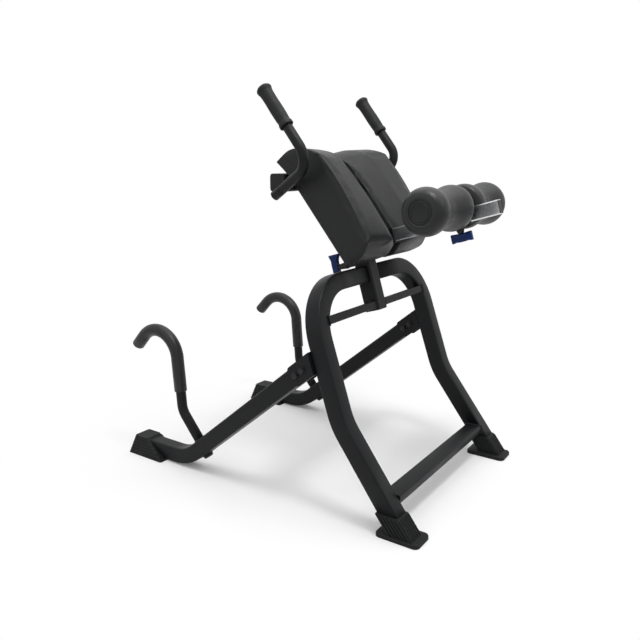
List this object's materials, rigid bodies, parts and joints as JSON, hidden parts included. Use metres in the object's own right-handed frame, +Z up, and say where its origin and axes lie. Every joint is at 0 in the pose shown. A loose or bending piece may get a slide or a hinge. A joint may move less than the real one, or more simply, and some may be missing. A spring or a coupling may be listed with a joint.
{
  "type": "inversion core trainer",
  "caption": "Freestanding bent-tube trainer: split hip pads and foam thigh rollers on a sliding mast, upper handles, hooked foam rear handles, rubber feet.",
  "frame": {"origin": "on the floor, at the middle of the footprint of the whole object's box", "axes": "+Z up, +Y towards the rear, where the hooked handles are, +X to the right of a user who stands on the step bar and faces the rear"},
  "size_m": [0.718, 1.0953, 1.1425],
  "materials": {
    "black_powder_coat": "fine matt black powder coat",
    "black_vinyl": "black upholstery vinyl with a soft sheen",
    "black_foam": "matt black closed-cell foam",
    "black_moulded_rubber": "matt black moulded rubber",
    "black_plastic": "satin black moulded plastic",
    "blue_plastic": "semi-gloss navy blue moulded plastic",
    "chrome": "bright chrome plate",
    "zinc_plated_steel": "bright zinc plate",
    "plywood": "raw birch plywood"
  },
  "bodies": {
    "base": {"arch_tube": "black_powder_coat", "upper_crossbar_right": "black_powder_coat", "upper_crossbar_left": "black_powder_coat", "step_bar": "black_powder_coat", "mast_sleeve": "black_powder_coat", "sleeve_liner": "black_plastic", "rear_leg_right": "black_powder_coat", "rear_leg_left": "black_powder_coat", "leg_bracket_right": "black_powder_coat", "leg_bracket_left": "black_powder_coat", "leg_bolt_1_right": "zinc_plated_steel", "leg_bolt_2_right": "zinc_plated_steel", "leg_bolt_1_left": "zinc_plated_steel", "leg_bolt_2_left": "zinc_plated_steel", "j_handle_tube_right": "black_powder_coat", "j_handle_tube_left": "black_powder_coat", "j_handle_foam_right": "black_foam", "j_handle_foam_left": "black_foam", "j_handle_cap_right": "black_plastic", "j_handle_cap_left": "black_plastic", "front_boot_right": "black_moulded_rubber", "front_boot_left": "black_moulded_rubber", "rear_boot_right": "black_moulded_rubber", "rear_boot_left": "black_moulded_rubber"},
    "carriage": {"mast_post": "black_powder_coat", "bar_receiver": "black_powder_coat", "thigh_bar": "chrome", "thigh_bar_plug": "black_plastic", "pad_frame": "black_powder_coat", "pad_board_right": "plywood", "pad_board_left": "plywood", "pad_bolt_1_right": "zinc_plated_steel", "pad_bolt_2_right": "zinc_plated_steel", "pad_bolt_1_left": "zinc_plated_steel", "pad_bolt_2_left": "zinc_plated_steel", "pad_right": "black_vinyl", "pad_left": "black_vinyl", "handlebar_tube": "black_powder_coat", "handlebar_cap_right": "black_plastic", "handlebar_cap_left": "black_plastic", "handle_tube_right": "black_powder_coat", "handle_tube_left": "black_powder_coat", "handle_plug_right": "black_plastic", "handle_plug_left": "black_plastic", "handle_grip_right": "black_moulded_rubber", "handle_grip_left": "black_moulded_rubber"},
    "slider": {"slider_sleeve": "black_powder_coat", "roller_axle": "zinc_plated_steel"},
    "roller_right": {"roller_foam_right": "black_foam", "roller_core_right": "black_plastic", "roller_cap_right": "black_plastic"},
    "roller_left": {"roller_foam_left": "black_foam", "roller_core_left": "black_plastic", "roller_cap_left": "black_plastic"},
    "mast_knob": {"mast_knob_stud": "black_plastic", "mast_knob_bar": "blue_plastic"},
    "roller_knob": {"roller_knob_stud": "black_plastic", "roller_knob_bar": "blue_plastic"}
  },
  "joints": [
    {"name": "post_slide", "type": "slide", "parent": "base", "child": "carriage", "axis": [0, 0.289, 0.9573], "range_m": [0, 0.08]},
    {"name": "roller_slide", "type": "slide", "parent": "carriage", "child": "slider", "axis": [0, -0.9573, 0.289], "range_m": [-0.06, 0.075]},
    {"name": "roller_right_spin", "type": "hinge", "parent": "slider", "child": "roller_right", "pos_m": [0, -0.42386, 0.82213], "axis": [1, 0, 0], "continuous": true},
    {"name": "roller_left_spin", "type": "hinge", "parent": "slider", "child": "roller_left", "pos_m": [0, -0.42386, 0.82213], "axis": [1, 0, 0], "continuous": true},
    {"name": "mast_knob_turn", "type": "hinge", "parent": "base", "child": "mast_knob", "pos_m": [0, -0.13925, 0.6542], "axis": [0, 0.9573, -0.289], "range_deg": [0, 360]},
    {"name": "roller_knob_turn", "type": "hinge", "parent": "slider", "child": "roller_knob", "pos_m": [0, -0.42606, 0.79406], "axis": [0, -0.289, -0.9573], "range_deg": [0, 360]}
  ]
}
